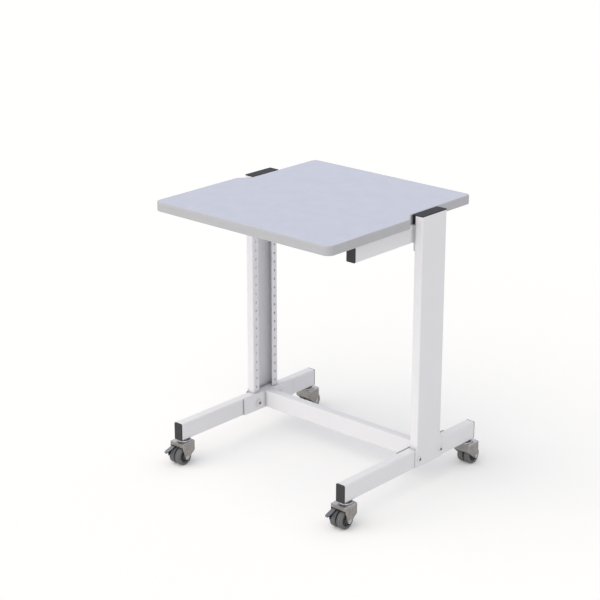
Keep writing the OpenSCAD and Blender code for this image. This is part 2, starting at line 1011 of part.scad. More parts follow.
module fork_front_left() {
    color(ZINC)
    caster_place(-1, 0)
        fork(true);
}

module fork_front_right() {
    color(ZINC)
    caster_place(1, 0)
        fork(true);
}

module fork_rear_left() {
    color(ZINC)
    caster_place(-1, 1)
        fork(false);
}

module fork_rear_right() {
    color(ZINC)
    caster_place(1, 1)
        fork(false);
}

module axle() {
    x_rod(axle_d, -leg_out, leg_out, trail, axle_z);
    for (side = [-1, 1])
        translate([side * leg_out, trail, axle_z])
            rotate([0, side * 90, 0]) {
                cylinder(d = axle_head_d, h = axle_head_h / 2);
                translate([0, 0, axle_head_h / 2])
                    cylinder(d1 = axle_head_d, d2 = axle_head_d * 0.6, h = axle_head_h / 2);
            }
}

module axle_front_left() {
    color(ZINC)
    caster_place(-1, 0)
        axle();
}

module axle_front_right() {
    color(ZINC)
    caster_place(1, 0)
        axle();
}

module axle_rear_left() {
    color(ZINC)
    caster_place(-1, 1)
        axle();
}

module axle_rear_right() {
    color(ZINC)
    caster_place(1, 1)
        axle();
}

// Turns a section drawn as radius and distance across into a solid of revolution
// round the axle, with the wheel's inner side at half the wheel gap
module wheel_turned() {
    translate([wheel_gap / 2, trail, axle_z])
        rotate([0, 90, 0])
            rotate_extrude($fn = 96)
                children();
}

module tyre() {
    groove_w = 1.2;
    groove_d = 0.6;
    wheel_turned()
        difference() {
            intersection() {
                translate([0, wheel_w / 2])
                    round_rect(2 * wheel_r, wheel_w, tyre_round);
                translate([rim_r, 0])
                    square([wheel_r - rim_r, wheel_w]);
            }
            for (v = [wheel_w * 0.28, wheel_w * 0.72])
                translate([wheel_r - groove_d, v - groove_w / 2])
                    square([groove_d + cut, groove_w]);
        }
}

// Hub: rim, web and boss, with ribs on the outer side
module hub() {
    rim_t = 2.5;
    rim_inset = 1;
    web_t = 3;
    web_v = 6;
    boss_r = 7.5;
    boss_in = wheel_gap / 2 - side_play;
    boss_out = leg_gap - side_play;
    rib_count = 8;
    rib_t = 1.6;
    wheel_turned()
        difference() {
            union() {
                translate([rim_r - rim_t, rim_inset])
                    square([rim_t, wheel_w - 2 * rim_inset]);
                translate([boss_r - 1, web_v])
                    square([rim_r - boss_r, web_t]);
                translate([0, -boss_in])
                    square([boss_r, wheel_w + boss_in + boss_out]);
            }
            translate([0, -boss_in - cut])
                square([axle_d / 2 + run_play, wheel_w + boss_in + boss_out + 2 * cut]);
        }
    for (i = [0:rib_count - 1])
        translate([wheel_gap / 2, trail, axle_z])
            rotate([i * 360 / rib_count, 0, 0])
                translate([web_v + web_t - 0.5, boss_r - 0.5, -rib_t / 2])
                    cube([wheel_w - web_v - web_t - 2 * rim_inset, rim_r - rim_t - boss_r + 1, rib_t]);
}

// Wheel a is the one nearer the table's right side, and wheel b its mirror image
module wheel_pair_half(side, row, half) {
    outward = row == 0 ? -1 : 1;
    caster_place(side, row)
        mirror([half * outward > 0 ? 0 : 1, 0, 0])
            children();
}

module tyre_front_left_a() { color(TYRE_GREY) wheel_pair_half(-1, 0, 1) tyre(); }
module tyre_front_left_b() { color(TYRE_GREY) wheel_pair_half(-1, 0, -1) tyre(); }
module tyre_front_right_a() { color(TYRE_GREY) wheel_pair_half(1, 0, 1) tyre(); }
module tyre_front_right_b() { color(TYRE_GREY) wheel_pair_half(1, 0, -1) tyre(); }
module tyre_rear_left_a() { color(TYRE_GREY) wheel_pair_half(-1, 1, 1) tyre(); }
module tyre_rear_left_b() { color(TYRE_GREY) wheel_pair_half(-1, 1, -1) tyre(); }
module tyre_rear_right_a() { color(TYRE_GREY) wheel_pair_half(1, 1, 1) tyre(); }
module tyre_rear_right_b() { color(TYRE_GREY) wheel_pair_half(1, 1, -1) tyre(); }

module hub_front_left_a() { color(HUB_GREY) wheel_pair_half(-1, 0, 1) hub(); }
module hub_front_left_b() { color(HUB_GREY) wheel_pair_half(-1, 0, -1) hub(); }
module hub_front_right_a() { color(HUB_GREY) wheel_pair_half(1, 0, 1) hub(); }
module hub_front_right_b() { color(HUB_GREY) wheel_pair_half(1, 0, -1) hub(); }
module hub_rear_left_a() { color(HUB_GREY) wheel_pair_half(-1, 1, 1) hub(); }
module hub_rear_left_b() { color(HUB_GREY) wheel_pair_half(-1, 1, -1) hub(); }
module hub_rear_right_a() { color(HUB_GREY) wheel_pair_half(1, 1, 1) hub(); }
module hub_rear_right_b() { color(HUB_GREY) wheel_pair_half(1, 1, -1) hub(); }

// Brake lever: an ear on the pin, a plate over one wheel with a shoe below it, and a
// pedal that slopes down in front of the wheel
module brake_lever() {
    difference() {
        union() {
            // Ear
            along_x(ear_x0, ear_x1) {
                translate([brake_pin_y, brake_pin_z])
                    circle(r = ear_r);
                polygon([
                    [brake_pin_y - ear_r, brake_pin_z],
                    [brake_pin_y + ear_r, brake_pin_z],
                    [pedal_y0, plate_z + lever_t],
                    [pedal_y0, plate_z],
                    [brake_pin_y - ear_r, plate_z]
                ]);
            }
            // Plate
            translate([shoe_x0, lever_y0, plate_z])
                cube([ear_x1 - shoe_x0, pedal_y0 - lever_y0, lever_t]);
            // Shoe
            along_x(pedal_x0, shoe_x1)
                shoe_side();
            pedal();
            // Flange on the side of the other wheel
            along_x(pedal_x0, pedal_x0 + lever_t)
                flange_side();
        }
        x_rod(brake_pin_d + 2 * run_play, ear_x0 - cut, ear_x1 + cut, brake_pin_y, brake_pin_z);
    }
}

// Height of the pedal's lower face at y, on its straight part
function pedal_under(y) =
    let (bend_end = pedal_line(0)[pedal_bend_steps + 1])
    bend_end[1] - (y - bend_end[0]) * tan(pedal_slope);

// Side view of the shoe, in Y and Z: it reaches halfway into the pedal's sheet
module shoe_side() {
    half = lever_t / 2;
    difference() {
        polygon([
            [shoe_y0, axle_z],
            [shoe_y1, axle_z],
            [shoe_y1, pedal_under(shoe_y1) + half],
            [shoe_y0, pedal_under(shoe_y0) + half]
        ]);
        translate([trail, axle_z])
            circle(r = wheel_r + brake_gap, $fn = 96);
    }
}

// Side view of the flange: it ends short of the pedal's rounded tip
module flange_side() {
    half = lever_t / 2;
    flange_y1 = pedal_line(0)[pedal_bend_steps + 2][0] - pedal_tip_r;
    polygon([
        [flange_y0, pedal_under(flange_y0) + half],
        [flange_y0, pedal_under(flange_y0) - 1],
        [flange_y0 + flange_h / 2, pedal_under(flange_y0) - flange_h],
        [flange_y1, pedal_under(flange_y1) - flange_h],
        [flange_y1, pedal_under(flange_y1) + half]
    ]);
}

// Points of the pedal's side view, in Y and Z, at a height of h in its sheet: along the
// bend, then straight on
function pedal_line(h) =
    let (
        bend = [for (i = [0:pedal_bend_steps])
            let (a = pedal_slope * i / pedal_bend_steps)
            [
                pedal_y0 + (pedal_bend_r + h) * sin(a),
                plate_z - pedal_bend_r + (pedal_bend_r + h) * cos(a)
            ]],
        end = bend[pedal_bend_steps]
    )
    concat(
        [[pedal_y0 - cut, plate_z + h]],
        bend,
        [end + pedal_l * [cos(pedal_slope), -sin(pedal_slope)]]
    );

function reversed(points) = [for (i = [len(points) - 1:-1:0]) points[i]];

// Pedal: a bend and a straight tread with a rounded tip
module pedal() {
    tip = pedal_line(lever_t)[pedal_bend_steps + 2];
    intersection() {
        along_x(pedal_x0, pedal_x1)
            polygon(concat(pedal_line(0), reversed(pedal_line(lever_t))));
        linear_extrude(plate_z + 2 * lever_t)
            translate([(pedal_x0 + pedal_x1) / 2, tip[0] - pedal_l])
                round_rect(pedal_w, 2 * pedal_l, pedal_tip_r);
    }
}

module brake_lever_left() {
    color(ZINC)
    caster_place(-1, 0)
        brake_lever();
}

module brake_lever_right() {
    color(ZINC)
    caster_place(1, 0)
        brake_lever();
}

// Rivet that the lever turns on, fixed in the fork's leg
module brake_pin() {
    rivet_head_d = 1.5 * brake_pin_d;
    rivet_foot_d = brake_pin_d + 0.6;
    rivet_h = 1.5;
    ear_play = 0.3;
    x_rod(brake_pin_d, ear_x0 - ear_play, leg_out, brake_pin_y, brake_pin_z);
    x_rod(rivet_head_d, leg_out, leg_out + rivet_h, brake_pin_y, brake_pin_z);
    x_rod(rivet_foot_d, ear_x0 - ear_play - rivet_h, ear_x0 - ear_play, brake_pin_y, brake_pin_z);
}

module brake_pin_left() {
    color(ZINC)
    caster_place(-1, 0)
        brake_pin();
}

module brake_pin_right() {
    color(ZINC)
    caster_place(1, 0)
        brake_pin();
}

tabletop();
edge_band();
post_left();
post_right();
post_cap_left();
post_cap_right();
arm_left();
arm_right();
arm_cap_front_left();
arm_cap_front_right();
arm_cap_rear_left();
arm_cap_rear_right();
arm_plate_left();
arm_plate_right();
arm_long_bolts();
arm_short_bolts();
arm_nuts();
top_screws();
foot_left();
foot_right();
foot_cap_front_left();
foot_cap_front_right();
foot_cap_rear_left();
foot_cap_rear_right();
crossbar();
crossbar_plate_left();
crossbar_plate_right();
frame_bolts();
frame_washers();
frame_nuts();
caster_stems();
caster_nuts();
fork_front_left();
fork_front_right();
fork_rear_left();
fork_rear_right();
axle_front_left();
axle_front_right();
axle_rear_left();
axle_rear_right();
tyre_front_left_a();
tyre_front_left_b();
tyre_front_right_a();
tyre_front_right_b();
tyre_rear_left_a();
tyre_rear_left_b();
tyre_rear_right_a();
tyre_rear_right_b();
hub_front_left_a();
hub_front_left_b();
hub_front_right_a();
hub_front_right_b();
hub_rear_left_a();
hub_rear_left_b();
hub_rear_right_a();
hub_rear_right_b();
brake_lever_left();
brake_lever_right();
brake_pin_left();
brake_pin_right();
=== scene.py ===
# %% [markdown]
# # A mobile utility table
#
# The table's shape is already made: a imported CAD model, in metres, with the floor at
# z = 0, the back at +Y and the user's right at +X. This lesson loads it as a fixed frame
# and gives it what a CAD model lacks: a camera, a studio and a finish for each piece.
# Nothing is moved or reshaped, because other tools measure the same model.

# %% Load the frame
from math import cos, radians, sin

import bpy
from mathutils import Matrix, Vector


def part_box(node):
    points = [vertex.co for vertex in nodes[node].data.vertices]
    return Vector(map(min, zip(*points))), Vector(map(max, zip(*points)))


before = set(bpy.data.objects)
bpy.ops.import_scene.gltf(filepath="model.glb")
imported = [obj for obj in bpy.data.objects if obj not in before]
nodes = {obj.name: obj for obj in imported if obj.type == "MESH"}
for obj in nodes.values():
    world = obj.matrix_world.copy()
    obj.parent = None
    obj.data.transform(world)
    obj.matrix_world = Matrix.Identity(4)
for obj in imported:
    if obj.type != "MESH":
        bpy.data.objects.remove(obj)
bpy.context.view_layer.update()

# %% [markdown]
# ## Camera
#
# The photograph was taken with a long lens, so upright edges stay nearly upright. The
# distance, the angles and the lens below come from edges and bolt holes of the real
# table, whose sizes are known. A camera could also be set by eye, but a small error of
# its height changes how much of the table's top is seen. The aim point is what the
# middle of the picture looks at.

# %% Place the camera
def direction(turn, tilt):
    """Points that far round from the front to the right, and that far up, in degrees."""
    turn = radians(turn)
    tilt = radians(tilt)
    return Vector((sin(turn) * cos(tilt), -cos(turn) * cos(tilt), sin(tilt)))


def look_back(way):
    """The rotation of a camera or lamp that stands that way and looks back."""
    return way.to_track_quat("Z", "Y").to_euler()


photo_width = 600  # pixels
lens_in_pixels = 1706.2
sensor_width = 36  # mm
aim = Vector((-0.0346, -0.0421, 0.4808))  # metres
distance = 4.5215
to_camera = direction(turn=41.83, tilt=19.21)

camera_data = bpy.data.cameras.new("photo_camera")
camera_data.sensor_width = sensor_width
camera_data.lens = lens_in_pixels / photo_width * sensor_width
camera = bpy.data.objects.new("photo_camera", camera_data)
camera.location = aim + to_camera * distance
camera.rotation_euler = look_back(to_camera)
bpy.context.scene.collection.objects.link(camera)
bpy.context.scene.camera = camera
print("lens", round(camera_data.lens, 1), "mm, camera at", [round(v, 3) for v in camera.location])

# %% [markdown]
# ## Key light
#
# The photograph is a plain product shot with a soft shadow under the table. Area lamps
# would light the near floor more than the far floor, so the key light is a sun. It is as
# wide as a big softbox close by, which makes its shadows soft, and stands high in front, a
# little to the left. Its colour, like all that follow, is given as an sRGB hex value, as on
# a screen. Blender mixes light in linear values, so one function turns one into the
# other.

# %% Key light
def linear(hex_colour):
    """A screen colour as linear red, green and blue, with an alpha of one."""
    screen = [int(hex_colour[i:i + 2], 16) / 255 for i in (1, 3, 5)]
    light = [v / 12.92 if v <= 0.04045 else ((v + 0.055) / 1.055) ** 2.4 for v in screen]
    return (*light, 1.0)


key_data = bpy.data.lights.new("key_sun", "SUN")
key_data.energy = 1.6
key_data.angle = radians(95)
key_data.color = linear("#FFFAF1")[:3]
key = bpy.data.objects.new("key_sun", key_data)
to_key = direction(turn=-12, tilt=46)
key.rotation_euler = look_back(to_key)
bpy.context.scene.collection.objects.link(key)
print("key light from", [round(v, 2) for v in to_key])

# %% [markdown]
# ## World
#
# The world fills the shadows with a slightly cool light, as a white room does. With both
# lights a level surface gets about one unit of light, at which a colour renders as it is
# written. The camera and mirror-like pieces see another world, a plain white one, by the
# Light Path node, because a fill that bright would clip the table's pale paint. Here a
# function adds the nodes: it sets a node's own settings, then its inputs, and an input that
# is given another node's socket is linked to it. So a recipe of nodes reads from top to
# bottom.

# %% Fill light
def socket(sockets, name):
    """The socket in use with that name: a Mix node has an A for each kind of data."""
    if isinstance(name, int):
        return sockets[name]
    return next(s for s in sockets if s.name == name and s.enabled)


def add_node(tree, kind, inputs=None, **settings):
    node = tree.nodes.new("ShaderNode" + kind)
    for name, value in settings.items():
        setattr(node, name, value)
    for name, value in (inputs or {}).items():
        if isinstance(value, bpy.types.NodeSocket):
            tree.links.new(value, socket(node.inputs, name))
        else:
            socket(node.inputs, name).default_value = value
    return node


world = bpy.data.worlds.new("studio_world")
bpy.context.scene.world = world
world.use_nodes = True
tree = world.node_tree
tree.nodes.clear()
ray = add_node(tree, "LightPath")
mirrored = add_node(tree, "Math", {0: ray.outputs["Is Camera Ray"], 1: ray.outputs["Is Glossy Ray"]},
                    operation="MAXIMUM")
seen = add_node(tree, "Math", {0: mirrored.outputs[0], 1: ray.outputs["Is Transmission Ray"]},
                operation="MAXIMUM")
fill = add_node(tree, "Background", {"Color": linear("#F1F4FC"), "Strength": 0.62})
white = add_node(tree, "Background", {"Color": linear("#FFFFFF"), "Strength": 1.0})
choice = add_node(tree, "MixShader", {0: seen.outputs[0], 1: fill.outputs[0], 2: white.outputs[0]})
add_node(tree, "OutputWorld", {"Surface": choice.outputs[0]})
bpy.context.scene.view_settings.view_transform = "Standard"
print(world.name, "has", len(tree.nodes), "nodes")

# %% [markdown]
# ## Studio floor
#
# The floor is white paper that runs into the white background and keeps the table's
# shadow. It could be a plain matt sheet, but then the camera sees it a little grey. So it
# has two faces, by the Light Path node again: the camera and mirror-like pieces see a
# whiter sheet with a small glow, and all other light meets the plain one, so that no more
# light goes back on the table. Every finish starts from an empty node tree and the
# object's own coordinates in metres, which need no unwrapping and keep a pattern the same
# size on each piece.

# %% Floor
def new_finish(name):
    """A material with an empty node tree, and its object coordinates."""
    material = bpy.data.materials.new(name)
    material.use_nodes = True
    tree = material.node_tree
    tree.nodes.clear()
    place = add_node(tree, "TexCoord").outputs["Object"]
    return material, tree, place


reach = 14
floor_mesh = bpy.data.meshes.new("studio_floor")
corners = [(-reach, -reach, 0), (reach, -reach, 0), (reach, reach, 0), (-reach, reach, 0)]
floor_mesh.from_pydata(corners, [], [(0, 1, 2, 3)])
floor = bpy.data.objects.new("studio_floor", floor_mesh)
bpy.context.scene.collection.objects.link(floor)

floor_paint, tree, _ = new_finish("studio_floor_paint")
ray = add_node(tree, "LightPath")
seen = add_node(tree, "Math", {0: ray.outputs["Is Camera Ray"], 1: ray.outputs["Is Glossy Ray"]},
                operation="MAXIMUM")
matt = add_node(tree, "BsdfDiffuse", {"Color": linear("#F4F3F2")})
lit = add_node(tree, "BsdfDiffuse", {"Color": linear("#FFFEFB")})
glow = add_node(tree, "Emission", {"Color": linear("#FFFFFF"), "Strength": 0.1})
bright = add_node(tree, "AddShader", {0: lit.outputs[0], 1: glow.outputs[0]})
shader = add_node(tree, "MixShader", {0: seen.outputs[0], 1: matt.outputs[0], 2: bright.outputs[0]})
add_node(tree, "OutputMaterial", {"Surface": shader.outputs[0]})
floor_mesh.materials.append(floor_paint)
print("floor of", 2 * reach, "m")

# %% [markdown]
# ## The top
#
# The board is faced with a thin melamine laminate, pressed against a matt sheet: pale
# grey-blue, very slightly mottled, with a fine pebble that spreads each highlight. A flat
# colour would look like paper. A broad noise makes the mottling, a finer one small darker
# flecks, and a third the pebble, which is about 0.6 mm on the real sheet and drawn at
# twice that, so that a close view shows it. A noise texture's cells are about as large as
# 1 / scale, so each pattern's size in millimetres gives its scale.

# %% Melamine laminate
def per_mm(size):
    """The scale at which a texture's cells are that many millimetres large."""
    return 1000 / size


def give(material, *names):
    """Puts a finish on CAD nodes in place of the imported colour."""
    for name in names:
        mesh = nodes[name].data
        mesh.materials.clear()
        mesh.materials.append(material)
    print(material.name, "on", len(names), "nodes")


mottle_size = 45  # mm
fleck_size = 1.6
pebble_size = 1.2

laminate, tree, place = new_finish("melamine_laminate")
mottle = add_node(tree, "TexNoise", {"Vector": place, "Scale": per_mm(mottle_size), "Detail": 3.0,
                                     "Roughness": 0.55})
fleck = add_node(tree, "TexNoise", {"Vector": place, "Scale": per_mm(fleck_size), "Detail": 2.0})
ground = add_node(tree, "Mix", {"A": linear("#C3C7D8"), "B": linear("#D3D6E4"),
                                "Factor": mottle.outputs["Fac"]}, data_type="RGBA")
speck = add_node(tree, "MapRange", {"Value": fleck.outputs["Fac"], "From Min": 0.52, "From Max": 0.66,
                                    "To Max": 0.55})
colour = add_node(tree, "Mix", {"A": socket(ground.outputs, "Result"), "B": linear("#B3B7C8"),
                                "Factor": speck.outputs["Result"]}, data_type="RGBA")
pebble = add_node(tree, "TexNoise", {"Vector": place, "Scale": per_mm(pebble_size), "Detail": 1.0})
relief = add_node(tree, "Bump", {"Height": pebble.outputs["Fac"], "Strength": 0.4, "Distance": 0.0003})
gloss = add_node(tree, "MapRange", {"Value": mottle.outputs["Fac"], "To Min": 0.42, "To Max": 0.52})
shader = add_node(tree, "BsdfPrincipled", {"Base Color": socket(colour.outputs, "Result"),
                                           "Roughness": gloss.outputs["Result"],
                                           "Normal": relief.outputs["Normal"], "IOR": 1.48})
add_node(tree, "OutputMaterial", {"Surface": shader.outputs[0]})
give(laminate, "tabletop")

# %% [markdown]
# ## The edge band
#
# The board's edge is closed by a band of ABS, extruded as a long strip and bent round the
# outline with heat. Extrusion leaves faint lines along the strip, so the noise is
# stretched: coarse along the floor's plane and fine in height. Lines on an image would
# need the band unrolled first, and would follow its bends no better.

# %% Extruded ABS band
line_width = 1.1  # mm
lines_in_a_metre = 12  # end to end, so that each is about 80 mm long
cloud_size = 30  # mm

band_abs, tree, place = new_finish("extruded_abs_band")
stretch = add_node(tree, "Mapping", {
    "Vector": place, "Scale": (lines_in_a_metre, lines_in_a_metre, per_mm(line_width))})
lines = add_node(tree, "TexNoise", {"Vector": stretch.outputs["Vector"], "Scale": 1.0, "Detail": 2.0})
cloud = add_node(tree, "TexNoise", {"Vector": place, "Scale": per_mm(cloud_size), "Detail": 2.0})
ground = add_node(tree, "Mix", {"A": linear("#BABABC"), "B": linear("#C2C2C4"),
                                "Factor": cloud.outputs["Fac"]}, data_type="RGBA")
line_tone = add_node(tree, "MapRange", {"Value": lines.outputs["Fac"], "From Min": 0.35, "From Max": 0.65,
                                        "To Max": 0.4})
colour = add_node(tree, "Mix", {"A": socket(ground.outputs, "Result"), "B": linear("#AEAEB0"),
                                "Factor": line_tone.outputs["Result"]}, data_type="RGBA")
relief = add_node(tree, "Bump", {"Height": lines.outputs["Fac"], "Strength": 0.35, "Distance": 0.0002})
gloss = add_node(tree, "MapRange", {"Value": cloud.outputs["Fac"], "To Min": 0.36, "To Max": 0.46})
shader = add_node(tree, "BsdfPrincipled", {"Base Color": socket(colour.outputs, "Result"),
                                           "Roughness": gloss.outputs["Result"],
                                           "Normal": relief.outputs["Normal"], "IOR": 1.54})
add_node(tree, "OutputMaterial", {"Surface": shader.outputs[0]})
give(band_abs, "edge_band")

# %% [markdown]
# ## Painted steel
#
# Posts, arms, feet and crossbar are folded sheet and welded tube with a powder coat: dry
# paint that was melted on, which leaves an even, slightly glossy skin with the shallow
# waves called orange peel. Those waves are about 2 mm across. They show only in the
# highlights, so they are bump and roughness, and the colour hardly varies. Inner corners
# get a painted shade, a greyer coat colour. The Ambient Occlusion node finds such corners
# on the shape itself, which a painted mask couldn't do for another size of table. The
# front and rear edges of the plates at the crossbar's ends get the same painted shade.

# %% White powder coat
def white_coat(name, painted_end_shade=False):
    peel_size = 2.0  # mm
    grit_size = 0.9
    grit_share = 0.25  # of the waves' height
    cloud_size = 80
    painted_shade_reach = 0.014  # m, how far from an inner corner the shade is painted

    coat, tree, place = new_finish(name)
    peel = add_node(tree, "TexNoise", {"Vector": place, "Scale": per_mm(peel_size), "Detail": 1.5,
                                       "Roughness": 0.45})
    grit = add_node(tree, "TexNoise", {"Vector": place, "Scale": per_mm(grit_size), "Detail": 1.0})
    cloud = add_node(tree, "TexNoise", {"Vector": place, "Scale": per_mm(cloud_size), "Detail": 3.0})
    unshaded_coat = add_node(tree, "Mix", {"A": linear("#EEEDEE"), "B": linear("#F3F2F3"),
                                  "Factor": cloud.outputs["Fac"]}, data_type="RGBA")
    # Painted shade: near an inner corner the Ambient Occlusion value falls and the coat turns grey.
    corner = add_node(tree, "AmbientOcclusion", {"Distance": painted_shade_reach}, samples=8)
    painted_shade_mask = add_node(tree, "MapRange", {"Value": corner.outputs["AO"], "From Min": 0.35, "From Max": 0.95})
    pale_share = painted_shade_mask.outputs["Result"]
    # Painted shade on the plates' front and rear ends: faces that look along Y get the grey too.
    if painted_end_shade:
        facing = add_node(tree, "SeparateXYZ", {0: add_node(tree, "NewGeometry").outputs["Normal"]})
        end = add_node(tree, "Math", {0: facing.outputs["Y"]}, operation="ABSOLUTE")
        side = add_node(tree, "MapRange", {"Value": end.outputs[0], "From Min": 0.9, "From Max": 0.8})
        both = add_node(tree, "Math", {0: pale_share, 1: side.outputs["Result"]}, operation="MULTIPLY")
        pale_share = both.outputs[0]
    # B7B6B8 is the colour of the painted shade in corners and on the plates' ends.
    colour = add_node(tree, "Mix", {"A": linear("#B7B6B8"), "B": socket(unshaded_coat.outputs, "Result"),
                                    "Factor": pale_share}, data_type="RGBA")
    height = add_node(tree, "Math", {0: grit.outputs["Fac"], 1: grit_share, 2: peel.outputs["Fac"]},
                      operation="MULTIPLY_ADD")
    relief = add_node(tree, "Bump", {"Height": height.outputs[0], "Strength": 0.4, "Distance": 0.0004})
    gloss = add_node(tree, "MapRange", {"Value": peel.outputs["Fac"], "To Min": 0.32, "To Max": 0.46})
    shader = add_node(tree, "BsdfPrincipled", {"Base Color": socket(colour.outputs, "Result"),
                                               "Roughness": gloss.outputs["Result"],
                                               "Normal": relief.outputs["Normal"], "IOR": 1.5})
    add_node(tree, "OutputMaterial", {"Surface": shader.outputs[0]})
    return coat


give(white_coat("satin_white_powder_coat"), "post_left", "post_right", "arm_left", "arm_right",
     "arm_plate_left", "arm_plate_right", "foot_left", "foot_right", "crossbar")
give(white_coat("powder_coat_with_painted_end_shade", painted_end_shade=True),
     "crossbar_plate_left", "crossbar_plate_right")

# %% [markdown]
# ## Black caps
#
# Tube ends and post tops are closed with moulded caps. The tube caps are polypropylene and
# the post caps, which hands touch, a harder and darker polyamide. Both moulds are spark
# eroded, which gives a fine, even grain, dull and slightly lighter on its peaks. The grain
# is near 0.4 mm, drawn at 0.8 mm so that it shows. A matt grain traps light, so the
# specular level is under that of a polished plastic. One function makes both, because
# only the two greys, the IOR and that level differ.

# %% Moulded caps
def moulded_cap(name, pit, peak, ior, shine):
    grain_size = 0.8  # mm
    cloud_size = 12

    plastic, tree, place = new_finish(name)
    grain = add_node(tree, "TexNoise", {"Vector": place, "Scale": per_mm(grain_size), "Detail": 2.0})
    cloud = add_node(tree, "TexNoise", {"Vector": place, "Scale": per_mm(cloud_size), "Detail": 2.0})
    colour = add_node(tree, "Mix", {"A": linear(pit), "B": linear(peak),
                                    "Factor": grain.outputs["Fac"]}, data_type="RGBA")
    relief = add_node(tree, "Bump", {"Height": grain.outputs["Fac"], "Strength": 0.35, "Distance": 0.0002})
    gloss = add_node(tree, "MapRange", {"Value": cloud.outputs["Fac"], "To Min": 0.52, "To Max": 0.64})
    shader = add_node(tree, "BsdfPrincipled", {"Base Color": socket(colour.outputs, "Result"),
                                               "Roughness": gloss.outputs["Result"],
                                               "Normal": relief.outputs["Normal"],
                                               "Specular IOR Level": shine, "IOR": ior})
    add_node(tree, "OutputMaterial", {"Surface": shader.outputs[0]})
    return plastic


places = [row + side for row in ("front_", "rear_") for side in ("left", "right")]
give(moulded_cap("moulded_black_polypropylene", pit="#2B2A2A", peak="#464545", ior=1.49, shine=0.3),
     *["arm_cap_" + where for where in places], *["foot_cap_" + where for where in places])
give(moulded_cap("moulded_black_polyamide", pit="#1C1F24", peak="#353840", ior=1.53, shine=0.15),
     "post_cap_left", "post_cap_right")

# %% [markdown]
# ## Zinc-plated fasteners
#
# Bolts, nuts, screws, axles and stems are zinc plated and passivated: a satin metal with
# faint cool and warm patches, the trace of the passivation. It is a metal, so its colour
# is that of its reflection, and the roughness does most of the work: fine scratches vary
# it from spot to spot. With an even roughness it would look like poured plastic.

# %% Zinc-plated steel
patch_size = 4  # mm
scratch_size = 0.7

zinc, tree, place = new_finish("zinc_plated_steel")
patch = add_node(tree, "TexNoise", {"Vector": place, "Scale": per_mm(patch_size), "Detail": 2.0})
scratch = add_node(tree, "TexNoise", {"Vector": place, "Scale": per_mm(scratch_size), "Detail": 3.0,
                                      "Roughness": 0.7})
colour = add_node(tree, "Mix", {"A": linear("#A9ABB0"), "B": linear("#B3AFA6"),
                                "Factor": patch.outputs["Fac"]}, data_type="RGBA")
gloss = add_node(tree, "MapRange", {"Value": scratch.outputs["Fac"], "To Min": 0.28, "To Max": 0.5})
relief = add_node(tree, "Bump", {"Height": scratch.outputs["Fac"], "Strength": 0.1, "Distance": 0.0001})
shader = add_node(tree, "BsdfPrincipled", {"Base Color": socket(colour.outputs, "Result"), "Metallic": 1.0,
                                           "Roughness": gloss.outputs["Result"],
                                           "Normal": relief.outputs["Normal"]})
add_node(tree, "OutputMaterial", {"Surface": shader.outputs[0]})
give(zinc, "arm_long_bolts", "arm_short_bolts", "arm_nuts", "top_screws", "frame_washers",
     "caster_stems", "caster_nuts", "brake_pin_left", "brake_pin_right",
     *["axle_" + where for where in places])

# %% [markdown]
# ## Lacquered fasteners
#
# The bolts through the feet show on the outside, so their heads and nuts are lacquered white
# like the frame. A disc round each head's socket is dark grey, and so is a bolt's free end,
# which has only its black oxide. Both are told from the lacquer by their distance from the
# bolt's axis: there are two bolts on each side, so the middle of the node's box is halfway
# between them. A second material on the socket's faces would leave a sharp border where the
# real one is ragged.

# %% Lacquered bolts and nuts
def lacquered(name, node_name, dark_radius):
    scuff_size = 1.5  # mm
    ragged_by = 0.0008  # m, how far the dark patch's border strays
    fade = 0.0006  # m, how wide that border is

    metal, tree, place = new_finish(name)
    low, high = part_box(node_name)
    half_head = (high[2] - low[2]) / 2
    middle_y = (low[1] + high[1]) / 2
    half_gap = (high[1] - low[1]) / 2 - half_head
    spot = add_node(tree, "SeparateXYZ", {0: place})
    from_middle = add_node(tree, "Math", {0: spot.outputs["Y"], 1: middle_y}, operation="SUBTRACT")
    folded = add_node(tree, "Math", {0: from_middle.outputs[0]}, operation="ABSOLUTE")
    across = add_node(tree, "Math", {0: folded.outputs[0], 1: half_gap}, operation="SUBTRACT")
    up = add_node(tree, "Math", {0: spot.outputs["Z"], 1: (low[2] + high[2]) / 2}, operation="SUBTRACT")
    flat_place = add_node(tree, "CombineXYZ", {"X": across.outputs[0], "Y": up.outputs[0]})
    from_axis = add_node(tree, "VectorMath", {0: flat_place.outputs[0]}, operation="LENGTH")
    scuff = add_node(tree, "TexNoise", {"Vector": place, "Scale": per_mm(scuff_size), "Detail": 2.0})
    ragged = add_node(tree, "Math", {0: scuff.outputs["Fac"], 1: ragged_by, 2: from_axis.outputs["Value"]},
                      operation="MULTIPLY_ADD")
    pale_share = add_node(tree, "MapRange", {"Value": ragged.outputs[0], "From Min": dark_radius,
                                        "From Max": dark_radius + fade})
    colour = add_node(tree, "Mix", {"A": linear("#6A6B6E"), "B": linear("#E4E3E5"),
                                    "Factor": pale_share.outputs["Result"]}, data_type="RGBA")
    relief = add_node(tree, "Bump", {"Height": scuff.outputs["Fac"], "Strength": 0.15, "Distance": 0.0001})
    gloss = add_node(tree, "MapRange", {"Value": scuff.outputs["Fac"], "To Min": 0.35, "To Max": 0.55})
    shader = add_node(tree, "BsdfPrincipled", {"Base Color": socket(colour.outputs, "Result"),
                                               "Roughness": gloss.outputs["Result"],
                                               "Normal": relief.outputs["Normal"], "IOR": 1.5})
    add_node(tree, "OutputMaterial", {"Surface": shader.outputs[0]})
    return metal


give(lacquered("white_lacquered_bolt", "frame_bolts", dark_radius=0.0042), "frame_bolts")
give(lacquered("white_lacquered_nut", "frame_nuts", dark_radius=0.0), "frame_nuts")

